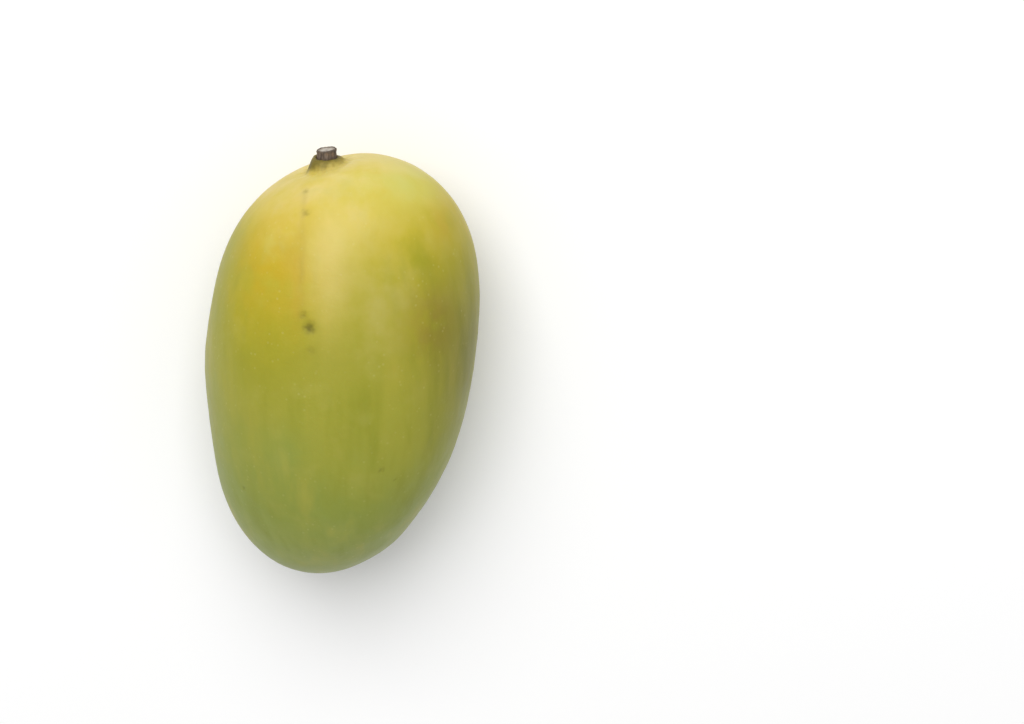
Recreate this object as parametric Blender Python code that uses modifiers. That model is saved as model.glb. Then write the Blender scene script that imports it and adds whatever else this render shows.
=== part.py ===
# Mango: one oblong fruit lying on a cheek, with the cut stub of its stalk.
#
# Frame: z = 0 is the surface that the mango lies on, +Y runs along the fruit to the stalk, +X is the
# side with the fuller shoulder, and the origin is under the middle of the whole mango's box.
# The fruit is modelled about its own middle, and one empty carries it to that place.

from math import acos, asin, atan2, cos, exp, hypot, pi, sin

import bmesh
import bpy
import numpy as np
from mathutils import Vector

MM = 0.001

# Fruit: half its thickness, and the plain ellipse that its outline grows from
CHEEK_RISE = 33.5 * MM
ELLIPSE_ACROSS = 38.0 * MM
ELLIPSE_ALONG = 60.0 * MM

# Outline in the middle plane, as (x, y) in millimetres from the fruit's middle
OUTLINE_MM = (
    (37.7, 0.0),        # right flank
    (38.8, 16.2),       # widest place, under the full shoulder
    (37.0, 37.0),       # full shoulder
    (22.7, 55.1),
    (0.0, 58.5),        # stalk end
    (-20.0, 48.1),      # sloping shoulder
    (-31.6, 31.6),
    (-36.6, 15.2),
    (-38.1, 0.0),       # left flank
    (-37.9, -15.5),
    (-34.8, -34.8),
    (-24.2, -58.6),     # blunt apex
    (0.0, -62.8),
    (19.9, -47.7),
    (29.8, -29.8),
    (35.0, -14.5),
)
OUTLINE_WAVES = 6

# How much fuller than an ellipsoid the fruit is between its outline and its cheeks
FULLNESS = 0.025
FULLNESS_TO_STALK = 0.02

# Soft unevenness of the skin, as waves over the directions from the middle
UNEVEN_RISE = 0.15 * MM
UNEVEN_WAVES = ((3.1, 2.3, 1.7, 0.6), (-2.2, 3.7, 2.9, 2.4), (4.3, -1.9, -3.3, 4.1))

# Beak: a low swelling beside the apex, on the side of the fuller shoulder
BEAK_TURN = -1.29
BEAK_RISE = 0.9 * MM
BEAK_RADIUS = 8.0 * MM

# Stalk end: a shallow hollow, and the collar of skin that grows out of it round the stub
STALK_X = -2.5 * MM
STALK_SEAT_Y = 58.3 * MM
HOLLOW_DEPTH = 1.8 * MM
HOLLOW_RADIUS = 8.0 * MM
COLLAR_TOP_Y = 59.0 * MM
COLLAR_RIM = 4.1 * MM
COLLAR_STEPS = 48

# Flat spot that the fruit rests on, cut this far above the lowest point
FLAT_DEPTH = 0.4 * MM

# Rings and meridians of the fruit; the rings crowd at the stalk and at the apex
MERIDIANS = 64
RINGS = 40
RING_CROWDING = 0.6
RING_STRETCH = 0.7

# Stub of the stalk, in its socket in the collar
STUB_RADIUS = 2.8 * MM
STUB_FOOT_Y = 56.8 * MM
STUB_TOP_Y = 61.3 * MM
STUB_STEPS = 42
GAP = 0.3 * MM
FURROWS = ((5, 0.8, 0.025), (9, 2.0, 0.015))
CUT_SLANT = 0.10
SOCKET_STEPS = 40
SOCKET_MOUTH = 6.0 * MM

SKIN_COLOUR = (0.49, 0.44, 0.08, 1.0)
SKIN_ROUGHNESS = 0.42
STUB_COLOUR = (0.19, 0.14, 0.10, 1.0)
STUB_ROUGHNESS = 0.85


def clear_scene():
    """Remove whatever objects the file starts with."""
    for thing in list(bpy.data.objects):
        bpy.data.objects.remove(thing, do_unlink=True)


def new_collection(name):
    """A collection of this name, linked to the scene."""
    collection = bpy.data.collections.new(name)
    bpy.context.scene.collection.children.link(collection)
    return collection


def finish(name, colour, roughness):
    """A material with one colour and roughness."""
    material = bpy.data.materials.new(name)
    material.use_nodes = True
    shader = material.node_tree.nodes["Principled BSDF"]
    shader.inputs["Base Color"].default_value = colour
    shader.inputs["Roughness"].default_value = roughness
    shader.inputs["Metallic"].default_value = 0.0
    return material


def smooth_rise(start, end, value):
    """Rise smoothly from 0 at start to 1 at end."""
    share = min(1.0, max(0.0, (value - start) / (end - start)))
    return share * share * (3.0 - 2.0 * share)


def ellipse_reach(turn):
    """Distance from the middle to the plain ellipse, at this angle from +X."""
    return 1.0 / hypot(cos(turn) / ELLIPSE_ACROSS, sin(turn) / ELLIPSE_ALONG)


def wave_terms(turn, fade=1.0):
    """Waves round the outline; the finer ones fade sooner on the way up to a cheek."""
    terms = [1.0]
    for order in range(1, OUTLINE_WAVES + 1):
        terms.append(cos(order * turn) * fade ** order)
        terms.append(sin(order * turn) * fade ** order)
    return np.array(terms)


def outline_weights():
    """Weight of each wave, so that the ellipse times the waves passes through the outline's points."""
    turns = [atan2(y, x) for x, y in OUTLINE_MM]
    excess = [hypot(x, y) * MM / ellipse_reach(turn) - 1.0 for (x, y), turn in zip(OUTLINE_MM, turns)]
    rows = np.array([wave_terms(turn) for turn in turns])
    return np.linalg.lstsq(rows, np.array(excess), rcond=None)[0]


def body_point(direction, weights):
    """Point of the plain body, with neither stalk end nor beak, in this direction."""
    turn = atan2(direction.y, direction.x)
    rise = asin(max(-1.0, min(1.0, direction.z)))
    out = cos(rise)
    reach = ellipse_reach(turn) * (1.0 + wave_terms(turn, out) @ weights)
    full = 1.0 + (FULLNESS + FULLNESS_TO_STALK * direction.y) * sin(2.0 * rise) ** 2
    return Vector((reach * out * cos(turn), reach * out * sin(turn), CHEEK_RISE * sin(rise))) * full


def unevenness(direction):
    """Soft swells and dips of the skin."""
    swell = sum(sin(a * direction.x + b * direction.y + c * direction.z + d) for a, b, c, d in UNEVEN_WAVES)
    return UNEVEN_RISE * swell


def hollow_depth(point):
    """How far the skin sinks along -Y in the hollow round the stalk."""
    if point.y < 0.0:
        return 0.0
    away = hypot(point.x - STALK_X, point.z)
    return HOLLOW_DEPTH * exp(-(away / HOLLOW_RADIUS) ** 2)


def skin_point(direction, weights, beak_top):
    """Point of the finished skin in this direction from the fruit's middle."""
    point = body_point(direction, weights)
    away = (point - beak_top).length
    beak = BEAK_RISE * exp(-(away / BEAK_RADIUS) ** 2)
    point += direction * (unevenness(direction) + beak)
    point.y -= hollow_depth(point)
    return point


def crowded(point):
    """Slide a point of the unit sphere along its meridian, so that the rings crowd at both poles."""
    turn = atan2(point.y, point.x)
    drop = acos(max(-1.0, min(1.0, point.z)))
    drop -= RING_CROWDING * sin(2.0 * drop) / 2.0
    return Vector((sin(drop) * cos(turn), sin(drop) * sin(turn), cos(drop)))


def rounded(direction):
    """Stretch the rings upright near both poles, so that the fruit's thinness leaves them round."""
    upright = direction.z * (1.0 + RING_STRETCH * direction.y ** 2)
    return Vector((direction.x, direction.y, upright)).normalized()


def cut_flat_spot(bm):
    """Slice the underside level just above its lowest point, and close the cut with one face."""
    lowest = min(vert.co.z for vert in bm.verts)
    everything = bm.verts[:] + bm.edges[:] + bm.faces[:]
    cut = bmesh.ops.bisect_plane(
        bm,
        geom=everything,
        dist=1e-7,
        plane_co=(0.0, 0.0, lowest + FLAT_DEPTH),
        plane_no=(0.0, 0.0, -1.0),
        clear_outer=True,
    )
    rim = [item for item in cut["geom_cut"] if isinstance(item, bmesh.types.BMEdge)]
    bmesh.ops.contextual_create(bm, geom=rim)


def fruit_mesh():
    """The fruit as one closed skin: a sphere whose poles are turned to the stalk and the apex."""
    weights = outline_weights()
    beak_top = body_point(Vector((cos(BEAK_TURN), sin(BEAK_TURN), 0.0)), weights)
    to_stalk = Vector((STALK_X, STALK_SEAT_Y, 0.0))
    turn_poles = Vector((0.0, 0.0, 1.0)).rotation_difference(to_stalk).to_matrix()
    bm = bmesh.new()
    bmesh.ops.create_uvsphere(bm, u_segments=MERIDIANS, v_segments=RINGS, radius=1.0)
    for vert in bm.verts:
        direction = rounded(turn_poles @ crowded(vert.co))
        vert.co = skin_point(direction, weights, beak_top)
    cut_flat_spot(bm)
    bmesh.ops.recalc_face_normals(bm, faces=bm.faces)
    mesh = bpy.data.meshes.new("fruit")
    bm.to_mesh(mesh)
    bm.free()
    mesh.shade_smooth()
    mesh.set_sharp_from_angle(angle=pi / 5)
    return mesh


def stand_on_stalk_axis(thing, foot_y):
    """Turn a thing's +Z to +Y, and put its foot this far along the stalk's axis."""
    thing.location = (STALK_X, foot_y, 0.0)
    thing.rotation_euler = (-pi / 2.0, 0.0, 0.0)


def hide_as_guide(guide, collection):
    """Keep a shape that only cuts or joins others out of the finished object."""
    guide.hide_render = True
    guide.display_type = "WIRE"
    collection.objects.link(guide)


def collar_guide(collection):
    """The collar as a turned solid with a flared foot, sunk well into the fruit."""
    profile = (
        (0.0, 0.0),
        (0.86 * COLLAR_RIM, 0.0),
        (0.95 * COLLAR_RIM, -0.12 * MM),
        (COLLAR_RIM, -0.40 * MM),
        (1.04 * COLLAR_RIM, -1.10 * MM),
        (1.12 * COLLAR_RIM, -1.80 * MM),
        (1.26 * COLLAR_RIM, -2.60 * MM),
        (1.30 * COLLAR_RIM, -4.00 * MM),
        (0.0, -5.50 * MM),
    )
    mesh = turned_mesh("stalk_collar_guide", profile, COLLAR_STEPS)
    mesh.shade_smooth()
    collar = bpy.data.objects.new("stalk_collar_guide", mesh)
    stand_on_stalk_axis(collar, COLLAR_TOP_Y)
    hide_as_guide(collar, collection)
    return collar


def socket_cutter(collection):
    """Plain round hole in the collar that the stub stands in, as a cutter."""
    top = STUB_TOP_Y + SOCKET_MOUTH - STUB_FOOT_Y
    radius = STUB_RADIUS + GAP
    profile = ((0.0, top), (radius, top), (radius, 0.0), (0.0, 0.0))
    cutter = bpy.data.objects.new(
        "stalk_socket_cutter", turned_mesh("stalk_socket_cutter", profile, SOCKET_STEPS)
    )
    stand_on_stalk_axis(cutter, STUB_FOOT_Y - GAP)
    hide_as_guide(cutter, collection)
    return cutter


def shape_with(fruit, guide, operation):
    """Join a guide to the fruit, or cut it away."""
    boolean = fruit.modifiers.new(guide.name, "BOOLEAN")
    boolean.operation = operation
    boolean.object = guide


def make_fruit(collection, guides):
    """The fruit, with its collar joined on and the stub's socket cut into that."""
    fruit = bpy.data.objects.new("fruit", fruit_mesh())
    fruit.data.materials.append(finish("mango_skin", SKIN_COLOUR, SKIN_ROUGHNESS))
    collection.objects.link(fruit)
    collar = collar_guide(guides)
    cutter = socket_cutter(guides)
    shape_with(fruit, collar, "UNION")
    shape_with(fruit, cutter, "DIFFERENCE")
    return fruit, [collar, cutter]


def stub_profile():
    """The stub's outer side as (radius, height) from the cut top down to its foot."""
    top = STUB_TOP_Y - STUB_FOOT_Y
    return (
        (0.0, top - 0.30 * MM),
        (0.45 * STUB_RADIUS, top - 0.20 * MM),
        (0.88 * STUB_RADIUS, top),
        (0.98 * STUB_RADIUS, top - 0.30 * MM),
        (0.93 * STUB_RADIUS, top - 1.20 * MM),
        (STUB_RADIUS, top - 2.20 * MM),
        (STUB_RADIUS, 0.30 * MM),
        (0.90 * STUB_RADIUS, 0.0),
        (0.0, 0.0),
    )


def turned_mesh(name, profile, steps):
    """A closed solid turned from a profile about the Z axis."""
    bm = bmesh.new()
    verts = [bm.verts.new((radius, 0.0, height)) for radius, height in profile]
    for above, below in zip(verts, verts[1:]):
        bm.edges.new((above, below))
    outline = bpy.data.meshes.new(name + "_profile")
    bm.to_mesh(outline)
    bm.free()
    blank = bpy.data.objects.new(name + "_profile", outline)
    bpy.context.scene.collection.objects.link(blank)
    screw = blank.modifiers.new("turn", "SCREW")
    screw.steps = steps
    screw.render_steps = steps
    screw.use_merge_vertices = True
    screw.merge_threshold = 0.00001
    evaluated = blank.evaluated_get(bpy.context.evaluated_depsgraph_get())
    mesh = bpy.data.meshes.new_from_object(evaluated)
    mesh.name = name
    bpy.data.objects.remove(blank, do_unlink=True)
    return mesh


def weather_stub(mesh):
    """Sink the bark's furrows and slant the cut, above the collar only."""
    top = STUB_TOP_Y - STUB_FOOT_Y
    for vert in mesh.vertices:
        bare = smooth_rise(0.45 * top, 0.70 * top, vert.co.z)
        turn = atan2(vert.co.y, vert.co.x)
        ripple = 1.0 + bare * sum(depth * sin(count * turn + start) for count, start, depth in FURROWS)
        vert.co.x *= ripple
        vert.co.y *= ripple
        vert.co.z += bare * CUT_SLANT * vert.co.x


def make_stub(collection):
    """The woody stub, with its axis along +Y."""
    mesh = turned_mesh("stalk_stub", stub_profile(), STUB_STEPS)
    weather_stub(mesh)
    mesh.shade_smooth()
    mesh.set_sharp_from_angle(angle=pi / 5)
    stub = bpy.data.objects.new("stalk_stub", mesh)
    stub.data.materials.append(finish("stalk_bark", STUB_COLOUR, STUB_ROUGHNESS))
    stand_on_stalk_axis(stub, STUB_FOOT_Y)
    collection.objects.link(stub)
    return stub


def lay_on_surface(collection, solids, guides):
    """Carry the whole mango by one empty, so that it lies on z = 0 with its box centred."""
    bpy.context.view_layer.update()
    places = [solid.matrix_world @ vert.co for solid in solids for vert in solid.data.vertices]
    low = [min(place[axis] for place in places) for axis in range(3)]
    high = [max(place[axis] for place in places) for axis in range(3)]
    carrier = bpy.data.objects.new("mango_middle", None)
    collection.objects.link(carrier)
    carrier.location = (-(low[0] + high[0]) / 2.0, -(low[1] + high[1]) / 2.0, -low[2])
    for thing in solids + guides:
        thing.parent = carrier


def main():
    clear_scene()
    mango = new_collection("mango")
    fruit, guides = make_fruit(mango, new_collection("mango_guides"))
    stub = make_stub(mango)
    lay_on_surface(mango, [fruit, stub], guides)


main()
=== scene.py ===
# Looks of the mango: its skin with the collar, the stub of its stalk, and the light and camera.
#
# The fruit's form is worked out about its own middle, with +Y to the stalk, +X to the fuller
# shoulder and +Z to the upper cheek, and then carried to where its solid lies. The meshes are in
# metres, and the paints in millimetres from the fruit's middle.

from math import acos, asin, atan2, cos, exp, hypot, pi, radians, sin, sqrt

import bmesh
import bpy
import numpy as np
from mathutils import Matrix, Vector, noise


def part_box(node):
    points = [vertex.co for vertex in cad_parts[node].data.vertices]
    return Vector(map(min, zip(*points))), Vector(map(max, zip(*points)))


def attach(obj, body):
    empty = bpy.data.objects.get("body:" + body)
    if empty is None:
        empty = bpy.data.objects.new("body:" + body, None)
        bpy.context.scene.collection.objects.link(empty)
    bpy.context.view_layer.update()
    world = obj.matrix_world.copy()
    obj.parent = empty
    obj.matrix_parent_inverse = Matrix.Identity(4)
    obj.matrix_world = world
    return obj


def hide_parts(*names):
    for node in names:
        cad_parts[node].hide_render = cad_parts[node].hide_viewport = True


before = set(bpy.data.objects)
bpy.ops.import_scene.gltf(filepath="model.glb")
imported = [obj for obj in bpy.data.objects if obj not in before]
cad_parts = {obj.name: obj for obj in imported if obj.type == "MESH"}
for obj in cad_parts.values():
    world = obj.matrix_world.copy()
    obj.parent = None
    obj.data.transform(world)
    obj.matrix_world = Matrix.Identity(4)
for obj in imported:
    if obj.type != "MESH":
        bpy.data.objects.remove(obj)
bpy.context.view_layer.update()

MM = 0.001

# Form of the fruit, as its solid has it
CHEEK_RISE = 33.5 * MM
ELLIPSE_ACROSS = 38.0 * MM
ELLIPSE_ALONG = 60.0 * MM
OUTLINE_MM = (
    (37.7, 0.0),
    (38.8, 16.2),
    (37.0, 37.0),
    (22.7, 55.1),
    (0.0, 58.5),
    (-20.0, 48.1),
    (-31.6, 31.6),
    (-36.6, 15.2),
    (-38.1, 0.0),
    (-37.9, -15.5),
    (-34.8, -34.8),
    (-24.2, -58.6),
    (0.0, -62.8),
    (19.9, -47.7),
    (29.8, -29.8),
    (35.0, -14.5),
)
OUTLINE_WAVES = 6
FULLNESS = 0.025
FULLNESS_TO_STALK = 0.02
UNEVEN_RISE = 0.15 * MM
UNEVEN_WAVES = ((3.1, 2.3, 1.7, 0.6), (-2.2, 3.7, 2.9, 2.4), (4.3, -1.9, -3.3, 4.1))
BEAK_TURN = -1.29
BEAK_RISE = 0.9 * MM
BEAK_RADIUS = 8.0 * MM

# Stalk end
STALK_X = -2.5 * MM
STALK_SEAT_Y = 58.3 * MM
HOLLOW_DEPTH = 1.8 * MM
HOLLOW_RADIUS = 8.0 * MM

# Collar of skin round the stub. Its waves are (how many go round, where they start, height)
COLLAR_TOP_Y = 59.0 * MM
COLLAR_FOOT = 6.6 * MM
COLLAR_FLARE = 1.5
COLLAR_RIM = 3.7 * MM
COLLAR_LIP = 0.5 * MM
COLLAR_MOUTH = 2.4 * MM
COLLAR_MOUTH_DEPTH = 1.4 * MM
COLLAR_LOBES = ((3.0, 0.7, 0.05), (5.0, 2.1, 0.03), (11.0, 0.0, 0.015))
COLLAR_TOP_WAVES = ((2.0, 1.0, 0.10 * MM), (7.0, 0.3, 0.05 * MM))
PUCKER_DEPTH = 0.045 * MM
PUCKER_REACH = 2.2 * MM

# Stub of the stalk: a sleeve of bark, with the wood just inside it. Its ridges are waves too
STUB_RADIUS = 2.8 * MM
STUB_FOOT_Y = 56.8 * MM
STUB_TOP_Y = 61.3 * MM
CUT_SLOPE = 0.10
BARK_INSIDE = 0.80 * STUB_RADIUS
BARK_SHOULDER = 0.25 * MM
BARK_WAIST = 0.14 * MM
BARK_RIDGES = ((5.0, 0.8, 0.025), (9.0, 2.0, 0.015))
BARK_FURROW = 0.05
BARK_RAGGED = 0.10 * MM
BARK_RINGS = 14
BARK_STEPS = 120
WOOD_OUTSIDE = 0.79 * STUB_RADIUS
WOOD_SUNK = 0.12 * MM
WOOD_DISH = 0.22 * MM
WOOD_CHECK = 0.12 * MM
WOOD_GRIT = 0.05 * MM
WOOD_RINGS = 14
WOOD_STEPS = 96

# Fine mesh of the skin
MERIDIANS = 288
RINGS = 208
RING_CROWDING = 0.8
RING_STRETCH = 0.7
SWELL_RISE = 0.10 * MM
SHARP_ANGLE = radians(50.0)

# Small blemishes of the skin: (x, y) on the upper cheek, radius and depth, in millimetres
SPOTS_MM = (
    (-5.8, 20.7, 1.45, 0.22),
    (-7.4, 23.9, 1.00, 0.10),
    (-5.4, 14.6, 1.30, 0.03),
    (-7.3, 53.4, 0.90, 0.08),
    (-6.9, 49.1, 1.00, 0.09),
    (-26.3, -30.2, 0.60, 0.08),
    (12.5, -21.0, 0.70, 0.10),
    (16.0, -24.5, 0.45, 0.06),
)

# Radii from the middle of a blemish to where the finer faces end, and to where its dip ends
SPOT_FINE = 2.5
SPOT_END = 3.0

# Finding the skin under a blemish: how often the aim is mended, and by what share of the miss
AIM_STEPS = 12
AIM_SHARE = 0.8

# Camera: the fruit's middle is seen at this pixel of the 1024 x 724 frame
FRAME_WIDTH = 1024
FRAME_HEIGHT = 724
SEEN_AT = (341, 360)
LENS = 85.0
SENSOR = 36.0
PIXELS_PER_METRE = 3550.0
TILT = radians(20.0)

# Light that a surface facing the camera gets, as a multiple of what a white one needs to look white
STUDIO_LIGHT = 1.38
KEY_AWAY = (-0.15, 1.35, 1.70)
KEY_SIZE = 1.6
KEY_POWER = 46.0
SKY = 0.50


def smooth_rise(start, end, value):
    """Rise smoothly from 0 at start to 1 at end."""
    share = min(1.0, max(0.0, (value - start) / (end - start)))
    return share * share * (3.0 - 2.0 * share)


def waves_round(turn, waves):
    """Sum, at this angle, of waves that go round the stalk."""
    return sum(height * sin(count * turn + start) for count, start, height in waves)


def ellipse_reach(turn):
    """Distance from the middle to the plain ellipse, at this angle from +X."""
    return 1.0 / hypot(cos(turn) / ELLIPSE_ACROSS, sin(turn) / ELLIPSE_ALONG)


def wave_terms(turn, fade=1.0):
    """Waves round the outline; the finer ones fade sooner on the way up to a cheek."""
    terms = [1.0]
    for order in range(1, OUTLINE_WAVES + 1):
        terms.append(cos(order * turn) * fade ** order)
        terms.append(sin(order * turn) * fade ** order)
    return np.array(terms)


def outline_weights():
    """Weight of each wave, so that the ellipse times the waves passes through the outline's points."""
    turns = [atan2(y, x) for x, y in OUTLINE_MM]
    excess = [hypot(x, y) * MM / ellipse_reach(turn) - 1.0 for (x, y), turn in zip(OUTLINE_MM, turns)]
    rows = np.array([wave_terms(turn) for turn in turns])
    return np.linalg.lstsq(rows, np.array(excess), rcond=None)[0]


WEIGHTS = outline_weights()


def body_point(direction):
    """Point of the plain body, with neither stalk end nor beak, in this direction."""
    turn = atan2(direction.y, direction.x)
    rise = asin(max(-1.0, min(1.0, direction.z)))
    out = cos(rise)
    reach = ellipse_reach(turn) * (1.0 + wave_terms(turn, out) @ WEIGHTS)
    full = 1.0 + (FULLNESS + FULLNESS_TO_STALK * direction.y) * sin(2.0 * rise) ** 2
    return Vector((reach * out * cos(turn), reach * out * sin(turn), CHEEK_RISE * sin(rise))) * full


BEAK_TOP = body_point(Vector((cos(BEAK_TURN), sin(BEAK_TURN), 0.0)))


def unevenness(direction):
    """Soft swells and dips of the skin."""
    swell = sum(sin(a * direction.x + b * direction.y + c * direction.z + d) for a, b, c, d in UNEVEN_WAVES)
    return UNEVEN_RISE * swell


def plain_skin(direction):
    """Skin in this direction, before the finer relief: the body, its beak and the hollow."""
    point = body_point(direction)
    beak = BEAK_RISE * exp(-(((point - BEAK_TOP).length / BEAK_RADIUS) ** 2))
    point += direction * (unevenness(direction) + beak)
    if point.y > 0.0:
        away = hypot(point.x - STALK_X, point.z)
        point.y -= HOLLOW_DEPTH * exp(-((away / HOLLOW_RADIUS) ** 2))
    return point


def collar(point):
    """Raise the skin into the collar round the stub, with puckers running out from it."""
    if point.y < 0.0:
        return
    across = point.x - STALK_X
    away = hypot(across, point.z)
    if away > 4.0 * COLLAR_FOOT:
        return
    turn = atan2(point.z, across)
    reach = away / (1.0 + waves_round(turn, COLLAR_LOBES))
    standing = smooth_rise(COLLAR_FOOT, COLLAR_RIM, reach) ** COLLAR_FLARE
    top = COLLAR_TOP_Y + waves_round(turn, COLLAR_TOP_WAVES)
    sunk = COLLAR_MOUTH_DEPTH * smooth_rise(COLLAR_RIM - COLLAR_LIP, COLLAR_MOUTH, away)
    point.y += standing * (top - point.y) - sunk
    puckers = sin(17.0 * turn + 1.3 * sin(3.0 * turn)) + 0.6 * sin(29.0 * turn + 0.5)
    near = exp(-(((away - COLLAR_FOOT) / PUCKER_REACH) ** 2))
    point.y -= PUCKER_DEPTH * near * (1.0 + puckers)


def direction_over(x, y):
    """Direction in which the skin lies at (x, y) on the upper cheek."""
    aim_x = x / ELLIPSE_ACROSS
    aim_y = y / ELLIPSE_ALONG
    for _ in range(AIM_STEPS):
        spare = max(0.0, 1.0 - aim_x * aim_x - aim_y * aim_y)
        direction = Vector((aim_x, aim_y, sqrt(spare))).normalized()
        point = plain_skin(direction)
        aim_x += AIM_SHARE * (x - point.x) / ELLIPSE_ACROSS
        aim_y += AIM_SHARE * (y - point.y) / ELLIPSE_ALONG
    return direction


def spots():
    """Each small blemish as (place, direction, radius, depth)."""
    found = []
    for x, y, radius, depth in SPOTS_MM:
        direction = direction_over(x * MM, y * MM)
        found.append((plain_skin(direction), direction, radius * MM, depth * MM))
    return found


def crowded(point):
    """Slide a point of the unit sphere along its meridian, so that the rings crowd at both poles."""
    turn = atan2(point.y, point.x)
    drop = acos(max(-1.0, min(1.0, point.z)))
    drop -= RING_CROWDING * sin(2.0 * drop) / 2.0
    return Vector((sin(drop) * cos(turn), sin(drop) * sin(turn), cos(drop)))


def rounded(direction):
    """Stretch the rings upright near both poles, so that the fruit's thinness leaves them round."""
    upright = direction.z * (1.0 + RING_STRETCH * direction.y ** 2)
    return Vector((direction.x, direction.y, upright)).normalized()


def refine_near(bm, direction, width):
    """Split the faces round one direction of the unit sphere, for a small blemish's own relief."""
    edges = [edge for edge in bm.edges if (edge.verts[0].co - direction).length < width]
    bmesh.ops.subdivide_edges(bm, edges=edges, cuts=2, use_grid_fill=True)


def skin_sphere(blemishes):
    """A unit sphere with its poles at the stalk and the apex, and finer round each blemish."""
    to_stalk = Vector((STALK_X, STALK_SEAT_Y, 0.0))
    turn_poles = Vector((0.0, 0.0, 1.0)).rotation_difference(to_stalk).to_matrix()
    bm = bmesh.new()
    bmesh.ops.create_uvsphere(bm, u_segments=MERIDIANS, v_segments=RINGS, radius=1.0)
    for vert in bm.verts:
        vert.co = rounded(turn_poles @ crowded(vert.co))
    for _, direction, radius, _ in blemishes:
        refine_near(bm, direction, SPOT_FINE * radius / ELLIPSE_ACROSS)
    return bm


def skin_point(direction, blemishes):
    """Point of the finished skin in this direction."""
    point = plain_skin(direction)
    collar(point)
    swell = noise.fractal(direction * 5.0 + Vector((3.0, 1.0, 7.0)), 1.0, 2.0, 3)
    point += direction * (SWELL_RISE * swell)
    for place, _, radius, depth in blemishes:
        away = (point - place).length
        if away < SPOT_END * radius:
            point -= direction * (depth * exp(-((away / radius) ** 2)))
    return point


def solid_middle(bm):
    """How far the middle of this skin has to be carried, so that it covers its solid."""
    low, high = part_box("fruit")
    own_low_x = min(vert.co.x for vert in bm.verts)
    own_high_x = max(vert.co.x for vert in bm.verts)
    own_low_y = min(vert.co.y for vert in bm.verts)
    own_high_z = max(vert.co.z for vert in bm.verts)
    return Vector((
        (low[0] + high[0] - own_low_x - own_high_x) / 2.0,
        low[1] - own_low_y,
        high[2] - own_high_z,
    ))


def cut_flat_spot(bm):
    """Cut the skin off level with the floor, and close it with one flat face."""
    everything = bm.verts[:] + bm.edges[:] + bm.faces[:]
    cut = bmesh.ops.bisect_plane(
        bm, geom=everything, dist=1e-7, plane_co=(0, 0, 0), plane_no=(0, 0, -1), clear_outer=True
    )
    rim = [item for item in cut["geom_cut"] if isinstance(item, bmesh.types.BMEdge)]
    bmesh.ops.contextual_create(bm, geom=rim)


def fruit_skin(blemishes):
    """The skin where its solid lies, and the place of its middle there."""
    bm = skin_sphere(blemishes)
    for vert in bm.verts:
        vert.co = skin_point(vert.co.normalized(), blemishes)
    middle = solid_middle(bm)
    bmesh.ops.translate(bm, verts=bm.verts, vec=middle)
    cut_flat_spot(bm)
    return bm, middle


def turned(profile, steps):
    """A solid turned about the stalk's axis from (radius, height up the axis) points."""
    bm = bmesh.new()
    verts = [bm.verts.new((radius, height, 0.0)) for radius, height in profile]
    edges = [bm.edges.new(pair) for pair in zip(verts, verts[1:])]
    bmesh.ops.spin(
        bm,
        geom=verts + edges,
        cent=(0.0, 0.0, 0.0),
        axis=(0.0, 1.0, 0.0),
        angle=2.0 * pi,
        steps=steps,
        use_merge=True,
    )
    bmesh.ops.remove_doubles(bm, verts=bm.verts, dist=0.001 * MM)
    return bm


def carry_to_stalk(bm, middle):
    """Carry what was turned about the middle's own Y axis to the axis of the stalk."""
    bmesh.ops.translate(bm, verts=bm.verts, vec=middle + Vector((STALK_X, 0.0, 0.0)))


def bark_profile():
    """Half section of the bark: up its inside, over the rounded edge of the cut and down its outside."""
    foot = STUB_FOOT_Y + 0.2 * MM
    shoulder = STUB_TOP_Y - BARK_SHOULDER
    profile = [
        (BARK_INSIDE, foot),
        (BARK_INSIDE, STUB_TOP_Y - 0.5 * MM),
        (BARK_INSIDE + 0.05 * MM, STUB_TOP_Y - 0.12 * MM),
        (BARK_INSIDE + 0.22 * MM, STUB_TOP_Y),
        (STUB_RADIUS - 0.16 * MM, STUB_TOP_Y - 0.04 * MM),
        (STUB_RADIUS, shoulder),
    ]
    for ring in range(1, BARK_RINGS + 1):
        share = ring / BARK_RINGS
        waist = BARK_WAIST * sin(pi * min(1.0, 1.7 * share))
        profile.append((STUB_RADIUS - waist, shoulder - share * (shoulder - foot)))
    profile.append((BARK_INSIDE, foot))
    return profile


def stub_bark(middle):
    """The bark as a sleeve round the wood, furrowed lengthwise and ragged at the cut."""
    bm = turned(bark_profile(), BARK_STEPS)
    for vert in bm.verts:
        turn = atan2(vert.co.z, vert.co.x)
        away = hypot(vert.co.x, vert.co.z)
        shown = smooth_rise(BARK_INSIDE + 0.1 * MM, STUB_RADIUS - 0.2 * MM, away)
        grain = Vector((2.2 * cos(turn), 2.2 * sin(turn), vert.co.y / (2.6 * MM)))
        furrow = noise.fractal(grain * 2.0, 0.9, 2.1, 4)
        scale = 1.0 + shown * (waves_round(turn, BARK_RIDGES) + BARK_FURROW * furrow)
        vert.co.x *= scale
        vert.co.z *= scale
        cut = smooth_rise(STUB_TOP_Y - 1.2 * MM, STUB_TOP_Y - 0.1 * MM, vert.co.y)
        rough = noise.fractal(grain * 3.0 + Vector((5.0, 0.0, 0.0)), 0.9, 2.1, 3)
        vert.co.y += cut * (CUT_SLOPE * vert.co.x + BARK_RAGGED * rough)
    carry_to_stalk(bm, middle)
    return bm


def wood_profile():
    """Half section of the wood: out over its dished cut face, down its outside and back to the axis."""
    foot = STUB_FOOT_Y + 0.3 * MM
    profile = []
    for ring in range(WOOD_RINGS + 1):
        share = ring / WOOD_RINGS
        dish = WOOD_DISH * (1.0 - share * share)
        profile.append((WOOD_OUTSIDE * share, STUB_TOP_Y - WOOD_SUNK - dish))
    return profile + [(WOOD_OUTSIDE, foot), (0.0, foot)]


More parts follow.
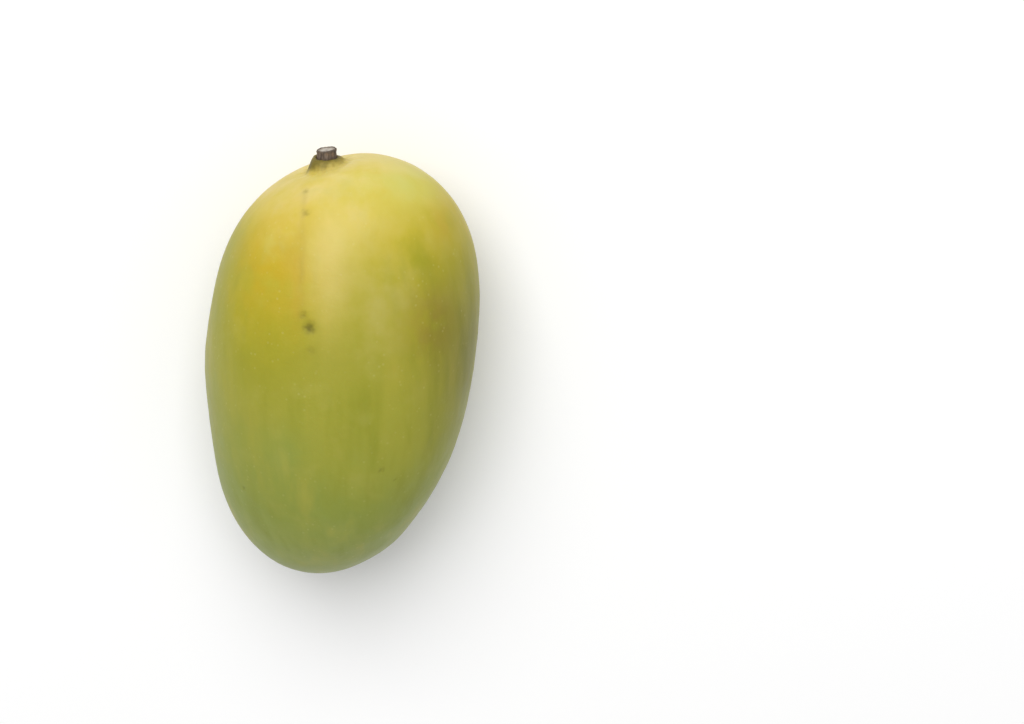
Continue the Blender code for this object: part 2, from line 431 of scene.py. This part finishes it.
def stub_wood(middle):
    """The cut wood inside the bark, a little dished, with fine radial checks in its face."""
    bm = turned(wood_profile(), WOOD_STEPS)
    face = [vert for vert in bm.verts if vert.co.y > STUB_TOP_Y - MM]
    for vert in face:
        turn = atan2(vert.co.z, vert.co.x)
        share = hypot(vert.co.x, vert.co.z) / WOOD_OUTSIDE
        check = max(0.0, sin(4.0 * turn + 0.6 * sin(3.0 * turn))) ** 8 * smooth_rise(0.1, 0.5, share)
        grit = noise.fractal(vert.co * (1.6 / MM), 0.9, 2.1, 3)
        vert.co.y += CUT_SLOPE * vert.co.x + WOOD_GRIT * grit - WOOD_CHECK * check
    carry_to_stalk(bm, middle)
    return bm


def keep_piece(name, bm, material, slot, *nodes):
    """Make the finished mesh a piece that rides on the mango and stands for its solids."""
    bmesh.ops.recalc_face_normals(bm, faces=bm.faces)
    mesh = bpy.data.meshes.new(name)
    bm.to_mesh(mesh)
    bm.free()
    mesh.shade_smooth()
    mesh.set_sharp_from_angle(angle=SHARP_ANGLE)
    mesh.materials.append(material)
    piece = bpy.data.objects.new(name, mesh)
    bpy.context.scene.collection.objects.link(piece)
    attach(piece, "root")
    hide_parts(*nodes)


class Flow:
    """A socket of a material, so that sums and products of masks can be written as such."""

    def __init__(self, paint, socket):
        self.paint = paint
        self.socket = socket

    def work(self, operation, *values):
        inputs = dict(enumerate(values))
        return self.paint.node("ShaderNodeMath", {"operation": operation}, inputs)

    def __add__(self, other):
        return self.work("ADD", self, other)

    def __radd__(self, other):
        return self.work("ADD", other, self)

    def __sub__(self, other):
        return self.work("SUBTRACT", self, other)

    def __rsub__(self, other):
        return self.work("SUBTRACT", other, self)

    def __mul__(self, other):
        return self.work("MULTIPLY", self, other)

    def __rmul__(self, other):
        return self.work("MULTIPLY", other, self)

    def __truediv__(self, other):
        return self.work("DIVIDE", self, other)

    def __pow__(self, other):
        return self.work("POWER", self, other)

    def sine(self):
        return self.work("SINE", self)

    def fall(self):
        """1 at zero, falling smoothly on both sides."""
        return self.work("EXPONENT", self * self * -1.0)

    def rise(self, start, end):
        """0 up to start, 1 from end on, and smooth between."""
        inputs = {"Value": self, "From Min": start, "From Max": end}
        return self.paint.node("ShaderNodeMapRange", {"interpolation_type": "SMOOTHSTEP"}, inputs)


class Paint:
    """A material, whose nodes all come from one method."""

    def __init__(self, name, middle):
        self.material = bpy.data.materials.new(name)
        self.material.use_nodes = True
        self.tree = self.material.node_tree
        self.shader = self.tree.nodes["Principled BSDF"]
        place = self.node("ShaderNodeTexCoord", {}, {}, "Object")
        to_mm = {"Vector": place, "Location": middle * (-1.0 / MM), "Scale": (1.0 / MM,) * 3}
        self.place = self.node("ShaderNodeMapping", {}, to_mm)
        self.across = self.node("ShaderNodeSeparateXYZ", {}, {"Vector": self.place}, "X")
        self.along = self.node("ShaderNodeSeparateXYZ", {}, {"Vector": self.place}, "Y")
        self.up = self.node("ShaderNodeSeparateXYZ", {}, {"Vector": self.place}, "Z")

    def node(self, kind, settings, inputs, output=0):
        """One node: its settings first, then the values or links of its sockets."""
        made = self.tree.nodes.new(kind)
        for name, value in settings.items():
            if name == "stops":
                self.set_stops(made.color_ramp, value)
            else:
                setattr(made, name, value)
        for key, value in inputs.items():
            self.feed(made.inputs[key], value)
        return Flow(self, made.outputs[output])

    def feed(self, socket, value):
        """Link a flow to a socket, or set the socket's own value."""
        if isinstance(value, Flow):
            self.tree.links.new(value.socket, socket)
        else:
            socket.default_value = value

    def set_stops(self, ramp, stops):
        """Colours of a ramp as (position, colour) pairs."""
        while len(ramp.elements) < len(stops):
            ramp.elements.new(1.0)
        for element, (position, colour) in zip(ramp.elements, stops):
            element.position = position
            element.color = (*colour, 1.0)

    def mix(self, share, base, other):
        """Lay a share of the other colour over the base."""
        base = base if isinstance(base, Flow) else (*base, 1.0)
        other = other if isinstance(other, Flow) else (*other, 1.0)
        settings = {"data_type": "RGBA", "clamp_factor": True}
        return self.node("ShaderNodeMix", settings, {0: share, 6: base, 7: other}, 2)

    def vector(self, operation, first, second):
        """Vector arithmetic on places."""
        return self.node("ShaderNodeVectorMath", {"operation": operation}, {0: first, 1: second})

    def length(self, place):
        """Distance of a place from zero."""
        return self.node("ShaderNodeVectorMath", {"operation": "LENGTH"}, {0: place}, "Value")

    def cloud(self, size, detail=2.0, place=None, shift=0.0, rough=0.5):
        """Soft noise from 0 to 1, with swells about this many millimetres apart."""
        inputs = {"Vector": place or self.place, "W": shift, "Scale": 1.0 / size}
        inputs.update({"Detail": detail, "Roughness": rough})
        return self.node("ShaderNodeTexNoise", {"noise_dimensions": "4D"}, inputs)

    def patch(self, centre, reach, place=None):
        """1 at the centre, falling smoothly over a reach along each axis, in millimetres."""
        offset = self.vector("SUBTRACT", place or self.place, centre)
        return self.length(self.vector("DIVIDE", offset, reach)).fall()

    def dots(self, spacing, radius):
        """Small round dots with soft rims, scattered a given distance apart, in millimetres."""
        inputs = {"Vector": self.place, "Scale": 1.0 / spacing}
        away = self.node("ShaderNodeTexVoronoi", {"feature": "F1"}, inputs, "Distance") * spacing
        return 1.0 - away.rise(radius * 0.5, radius * 1.5)

    def bump(self, height, strength):
        """Feed the shader's normal from a height in millimetres."""
        inputs = {"Height": height, "Distance": MM, "Strength": strength}
        self.feed(self.shader.inputs["Normal"], self.node("ShaderNodeBump", {}, inputs))

    def set(self, **values):
        """Feed the shader's own sockets, named with _ for a space."""
        for name, value in values.items():
            self.feed(self.shader.inputs[name.replace("_", " ")], value)


def colour(red, green, blue):
    """A colour as seen in the studio's light, 0 to 255 each, as the share of light it gives back."""
    return tuple((value / 255.0) ** 2.2 / STUDIO_LIGHT for value in (red, green, blue))


# Skin as seen from the green apex to the ripe shoulders: how far along, and the colour
RIPE_FROM = -62.0
RIPE_OVER = 122.0
SKIN_STOPS = (
    (0.00, colour(166, 178, 94)),
    (0.22, colour(156, 167, 72)),
    (0.45, colour(172, 171, 62)),
    (0.60, colour(172, 168, 50)),
    (0.70, colour(182, 173, 42)),
    (0.80, colour(202, 185, 54)),
    (0.90, colour(221, 199, 84)),
    (0.98, colour(232, 209, 122)),
)

# Patches that ripen later: (centre, reach along each axis, how much later)
LATE_PATCHES = (
    ((31.0, 28.0, 14.0), (8.0, 24.0, 14.0), 0.10),
    ((-14.4, -16.0, 28.0), (5.0, 9.0, 12.0), 0.18),
    ((-35.0, 28.0, 10.0), (12.0, 28.0, 14.0), 0.17),
    ((-28.0, 42.0, 8.0), (8.0, 12.0, 12.0), 0.08),
)

# Patches with a tint, two of them partly painted light: (centre, reach along each axis)
STREAKED_SHOULDER = ((19.0, 38.0, 22.0), (8.0, 16.0, 12.0))
UNRIPE_FLANK = ((-30.0, -18.0, 12.0), (12.0, 18.0, 16.0))
# Pale crown: partly paler skin, partly a painted highlight, the broad soft sheen down the middle of the
# upper cheek
PALE_HIGHLIT_CROWN = ((-0.5, 38.0, 28.0), (5.0, 20.0, 16.0))
HAZY_SHOULDER = ((13.0, 27.0, 27.0), (11.0, 16.0, 14.0))
ORANGE_SHOULDER = ((-16.5, 37.0, 24.0), (13.0, 15.0, 14.0))
WARM_STREAK = ((-9.5, 31.0, 29.0), (2.2, 12.0, 12.0))
WARM_EDGE = ((29.5, 43.0, 10.0), (4.0, 8.0, 9.0))
LIME_SHOULDER = ((18.0, 54.0, 8.0), (14.0, 6.0, 14.0))
BLUSHED_FLANK = ((27.0, 19.0, 24.0), (7.0, 9.0, 10.0))
# Dull flank: partly a dull olive patch of the skin, partly painted shade darkening the right-hand flank
SHADED_DULL_FLANK = ((35.0, 8.0, 14.0), (12.0, 24.0, 17.0))
BEAK_SCAR = (BEAK_TOP / MM, (1.0, 1.0, 1.0))

# Tints laid over the skin
STREAK_GREEN = colour(138, 148, 38)
STREAK_GOLD = colour(206, 186, 66)
MOTTLE_PALE = colour(190, 186, 96)
UNRIPE_GREEN = colour(146, 162, 80)
# Crown cream: partly the skin's paler tone, partly a painted highlight
CROWN_CREAM_AND_HIGHLIGHT = colour(234, 212, 122)
HAZE_STRAW = colour(204, 192, 118)
SHOULDER_ORANGE = colour(210, 172, 26)
WARM_GOLD = colour(206, 166, 44)
SHOULDER_LIME = colour(204, 208, 92)
BLUSH_BROWN = colour(150, 112, 56)
# Dull olive: partly the skin's own dull tone, partly painted shade on the right-hand flank
DULL_OLIVE_AND_SHADE = colour(98, 94, 14)
DOT_CREAM = colour(226, 218, 140)
SAP_BROWN = colour(166, 146, 60)
BLEMISH_OLIVE = colour(94, 88, 16)
STAIN_OCHRE = colour(176, 156, 64)
# Darker olive close round the stub, most on its -X side
DARK_OLIVE_ROUND_STUB = colour(106, 94, 28)
SCAR_BROWN = colour(84, 62, 36)

# Tints of the stub
BARK_BROWN = colour(80, 66, 56)
BARK_GREY = colour(142, 124, 106)
BARK_TAN = colour(150, 120, 92)
BARK_FOOT_BROWN = colour(74, 58, 40)
BARK_RIM_GREY = colour(62, 52, 46)
WOOD_GREY = colour(176, 166, 152)
WOOD_PALE = colour(214, 208, 196)
WOOD_RING_BROWN = colour(128, 110, 92)
PITH_BROWN = colour(116, 96, 78)


class SkinPaint(Paint):
    """The paint of the skin, with the clouds that several of its tints share."""

    def __init__(self, middle):
        super().__init__("mango_skin", middle)
        self.broad = self.cloud(30.0, shift=1.7)
        self.mottle = self.cloud(8.0, 3.0, shift=4.2)
        lengthwise = self.vector("MULTIPLY", self.place, (1.0, 0.16, 1.0))
        self.streak = self.cloud(5.0, 3.0, lengthwise, shift=2.6)

    def ripeness(self):
        """0 at the green apex to 1 at the ripe shoulders, uneven in clouds, streaks and patches."""
        ripe = (self.along - RIPE_FROM) / RIPE_OVER
        ripe = ripe + (self.broad - 0.5) * 0.30 + (self.mottle - 0.5) * 0.16 + (self.streak - 0.5) * 0.20
        ripe = ripe - self.patch(*STREAKED_SHOULDER) * self.streak.rise(0.25, 0.75) * 0.14
        for centre, reach, later in LATE_PATCHES:
            ripe = ripe - self.patch(centre, reach) * later
        return ripe

    def add_streaks(self, skin):
        """Green and gold streaks below the shoulders, and pale mottling all over."""
        below = 1.0 - self.along.rise(32.0, 54.0)
        green = self.streak.rise(0.45, 0.75) * self.broad.rise(0.35, 0.6) * below
        skin = self.mix(green * 0.42, skin, STREAK_GREEN)
        gold = (1.0 - self.streak).rise(0.45, 0.75) * (1.0 - self.broad).rise(0.35, 0.6) * below
        skin = self.mix(gold * 0.34, skin, STREAK_GOLD)
        return self.mix(self.mottle.rise(0.5, 0.8) * 0.30, skin, MOTTLE_PALE)

    def add_patches(self, skin):
        """The patches with a tint, broken up by the clouds and streaks; the pale crown is partly a painted
        highlight, and the dull flank partly painted shade.
        """
        unripe = self.patch(*UNRIPE_FLANK) * self.broad.rise(0.2, 0.6)
        skin = self.mix(unripe * 0.4, skin, UNRIPE_GREEN)
        # Pale strip down the upper cheek: partly paler skin, partly a painted highlight
        skin = self.mix(self.patch(*PALE_HIGHLIT_CROWN) * 0.5, skin, CROWN_CREAM_AND_HIGHLIGHT)
        haze = self.patch(*HAZY_SHOULDER) * self.mottle.rise(0.25, 0.65)
        skin = self.mix(haze * 0.35, skin, HAZE_STRAW)
        orange = self.patch(*ORANGE_SHOULDER) * self.cloud(6.0).rise(0.2, 0.65)
        skin = self.mix(orange * 0.6, skin, SHOULDER_ORANGE)
        warm = (self.patch(*WARM_STREAK) + self.patch(*WARM_EDGE)) * self.streak.rise(0.2, 0.7)
        skin = self.mix(warm * 0.5, skin, WARM_GOLD)
        lime = self.patch(*LIME_SHOULDER) * self.mottle.rise(0.1, 0.6)
        skin = self.mix(lime * 0.6, skin, SHOULDER_LIME)
        blush = self.patch(*BLUSHED_FLANK) * self.mottle.rise(0.3, 0.6)
        skin = self.mix(blush * 0.45, skin, BLUSH_BROWN)
        # Darkens the right-hand flank: partly a dull olive patch of the skin, partly painted shade
        dull_and_shade = self.patch(*SHADED_DULL_FLANK) * (0.44 + 0.20 * self.streak.rise(0.2, 0.8))
        return self.mix(dull_and_shade, skin, DULL_OLIVE_AND_SHADE)

    def sap_run(self):
        """The faint line up to the stalk on the upper cheek, wavering as dried sap does."""
        waver = (self.along * 0.31).sine() * 0.4 + (self.mottle - 0.5) * 2.0
        line = ((self.across + 7.5 - waver) / 0.95).fall()
        length = self.along.rise(20.0, 30.0) * (1.0 - self.along.rise(52.0, 56.0))
        return line * length * self.up.rise(0.0, 8.0) * self.streak.rise(0.3, 0.7)

    def speckle(self):
        """Fine pale dots, in flocks."""
        return self.dots(2.1, 0.32) * self.cloud(9.0, shift=8.0).rise(0.35, 0.65)

    def spot_mask(self, blemishes):
        """Dark small blemishes with ragged rims, the shallow ones fainter."""
        inputs = {"Vector": self.place, "Scale": 0.7, "Detail": 1.0}
        tear = self.node("ShaderNodeTexNoise", {}, inputs, "Color")
        pull = self.vector("MULTIPLY", self.vector("SUBTRACT", tear, (0.5, 0.5, 0.5)), (1.8, 1.8, 1.8))
        ragged = self.vector("ADD", self.place, pull)
        dark = 0.0
        for place, _, radius, depth in blemishes:
            spot = self.patch(place / MM, (radius / MM,) * 3, ragged)
            dark = dark + spot * (0.10 + 3.4 * depth / MM)
        return dark

    def collar_masks(self):
        """How much the skin is stained about the stalk, and how much darker it is made close round the
        stub, most on its -X side.
        """
        offset = self.vector("SUBTRACT", self.place, (STALK_X / MM, 58.6, 0.0))
        away = self.length(self.vector("MULTIPLY", offset, (1.0, 0.7, 1.0)))
        left = self.patch((STALK_X / MM - 4.0, 58.0, 2.0), (2.4, 3.0, 3.5))
        ragged = away + (self.cloud(1.4, 3.0) - 0.5) * 1.8 - left * 2.0
        return 1.0 - ragged.rise(4.2, 7.8), 1.0 - ragged.rise(3.4, 5.8)


def skin_paint(middle, blemishes):
    """Yellow shoulders running to a green apex, with streaks, dots, blemishes and the collar's stain."""
    paint = SkinPaint(middle)
    skin = paint.node("ShaderNodeValToRGB", {"stops": SKIN_STOPS}, {"Fac": paint.ripeness()}, "Color")
    skin = paint.add_patches(paint.add_streaks(skin))
    speckle = paint.speckle()
    skin = paint.mix(speckle * 0.17, skin, DOT_CREAM)
    skin = paint.mix(paint.sap_run() * 0.24, skin, SAP_BROWN)
    dark = paint.spot_mask(blemishes)
    skin = paint.mix(dark * 0.9, skin, BLEMISH_OLIVE)
    stain, dark_round_stub = paint.collar_masks()
    skin = paint.mix(stain * 0.75, skin, STAIN_OCHRE)
    # Darker olive close round the stub, most on its -X side
    skin = paint.mix(dark_round_stub * 0.85, skin, DARK_OLIVE_ROUND_STUB)
    skin = paint.mix(paint.patch(*BEAK_SCAR) * 0.85, skin, SCAR_BROWN)
    paint.set(
        Base_Color=skin,
        Roughness=0.47 + (paint.mottle - 0.5) * 0.16 + stain * 0.18 + dark * 0.15,
        Specular_IOR_Level=0.27,
        Coat_Weight=0.05,
        Coat_Roughness=0.35,
        Subsurface_Weight=0.10,
        Subsurface_Radius=(1.0, 0.55, 0.18),
        Subsurface_Scale=2.5 * MM,
    )
    peel = paint.cloud(0.9) * 0.10 + paint.cloud(3.5) * 0.25
    paint.bump(peel - speckle * 0.05 + stain * paint.cloud(0.7, 3.0) * 0.2, 0.35)
    return paint.material


def bark_paint(middle):
    """Brown-grey bark with lengthwise furrows, darker at its foot and at the rim of the cut."""
    paint = Paint("stalk_bark", middle)
    lengthwise = paint.vector("MULTIPLY", paint.place, (1.0, 0.18, 1.0))
    grain = paint.cloud(0.55, 4.0, lengthwise, rough=0.65)
    scale = paint.cloud(1.6, 3.0, shift=3.0)
    bark = paint.mix(grain.rise(0.3, 0.7), BARK_BROWN, BARK_GREY)
    bark = paint.mix(scale.rise(0.52, 0.72) * 0.6, bark, BARK_TAN)
    foot = COLLAR_TOP_Y / MM
    bark = paint.mix((1.0 - paint.along.rise(foot - 0.1, foot + 0.8)) * 0.6, bark, BARK_FOOT_BROWN)
    cut = STUB_TOP_Y / MM
    rim = paint.along.rise(cut - 0.9, cut) * scale.rise(0.3, 0.6)
    bark = paint.mix(rim * 0.6, bark, BARK_RIM_GREY)
    paint.set(Base_Color=bark, Roughness=0.80 + (grain - 0.5) * 0.2)
    paint.bump(grain * 0.25 + scale * 0.15, 0.6)
    return paint.material


def wood_paint(middle):
    """Dry cut wood: pale grey, with a darker ring under the bark and a dark pith."""
    paint = Paint("stalk_wood", middle)
    away = ((paint.across - STALK_X / MM) ** 2.0 + paint.up * paint.up) ** 0.5
    grain = paint.cloud(0.35, 3.0, shift=5.0)
    wood = paint.mix(grain, WOOD_GREY, WOOD_PALE)
    ring = ((away - 1.9) / 0.28).fall()
    wood = paint.mix(ring * 0.7, wood, WOOD_RING_BROWN)
    pith = (away / 0.5).fall()
    wood = paint.mix(pith * 0.7, wood, PITH_BROWN)
    paint.set(Base_Color=wood, Roughness=0.85)
    paint.bump(grain * 0.2, 0.5)
    return paint.material


def floor():
    """A plain pale floor."""
    bm = bmesh.new()
    bmesh.ops.create_grid(bm, x_segments=1, y_segments=1, size=3.0)
    mesh = bpy.data.meshes.new("floor")
    bm.to_mesh(mesh)
    bm.free()
    material = bpy.data.materials.new("pale_floor")
    material.use_nodes = True
    shader = material.node_tree.nodes["Principled BSDF"]
    shader.inputs["Base Color"].default_value = (0.92, 0.92, 0.92, 1.0)
    shader.inputs["Roughness"].default_value = 0.9
    mesh.materials.append(material)
    plane = bpy.data.objects.new("floor", mesh)
    bpy.context.scene.collection.objects.link(plane)


def key_light(middle):
    """A square soft light from beyond the stalk's end and above, turned to the mango."""
    light = bpy.data.lights.new("key_light", "AREA")
    light.size = KEY_SIZE
    light.energy = KEY_POWER
    lamp = bpy.data.objects.new("key_light", light)
    lamp.location = middle + Vector(KEY_AWAY)
    lamp.rotation_euler = (-Vector(KEY_AWAY)).to_track_quat("-Z", "Y").to_euler()
    bpy.context.scene.collection.objects.link(lamp)


def pale_surroundings():
    """White all round, bright enough to fill the shade."""
    world = bpy.data.worlds.new("pale_studio")
    world.use_nodes = True
    background = world.node_tree.nodes["Background"]
    background.inputs["Color"].default_value = (1.0, 1.0, 1.0, 1.0)
    background.inputs["Strength"].default_value = SKY
    bpy.context.scene.world = world


def camera(middle):
    """Look down on the mango, tilted to its stalk end, with its middle at its pixel of the frame."""
    pixels_per_turn = LENS / SENSOR * FRAME_WIDTH
    distance = pixels_per_turn / PIXELS_PER_METRE
    back = Vector((0.0, sin(TILT), cos(TILT)))
    upward = Vector((0.0, cos(TILT), -sin(TILT)))
    right = Vector((1.0, 0.0, 0.0))
    aside = (SEEN_AT[0] - FRAME_WIDTH / 2) / pixels_per_turn * distance
    above = (FRAME_HEIGHT / 2 - SEEN_AT[1]) / pixels_per_turn * distance
    place = middle - right * aside - upward * above + back * distance
    facing = Matrix((right, upward, back)).transposed().to_4x4()
    data = bpy.data.cameras.new("camera")
    data.lens = LENS
    data.sensor_width = SENSOR
    eye = bpy.data.objects.new("camera", data)
    eye.matrix_world = Matrix.Translation(place) @ facing
    bpy.context.scene.collection.objects.link(eye)
    bpy.context.scene.camera = eye


blemishes = spots()
skin_mesh, middle = fruit_skin(blemishes)
keep_piece("fruit_skin", skin_mesh, skin_paint(middle, blemishes), "skin", "fruit")
keep_piece("stalk_stub_bark", stub_bark(middle), bark_paint(middle), "bark", "stalk_stub")
keep_piece("stalk_stub_wood", stub_wood(middle), wood_paint(middle), "bark", "stalk_stub")
floor()
pale_surroundings()
key_light(middle)
camera(middle)
bpy.context.scene.view_settings.view_transform = "Standard"
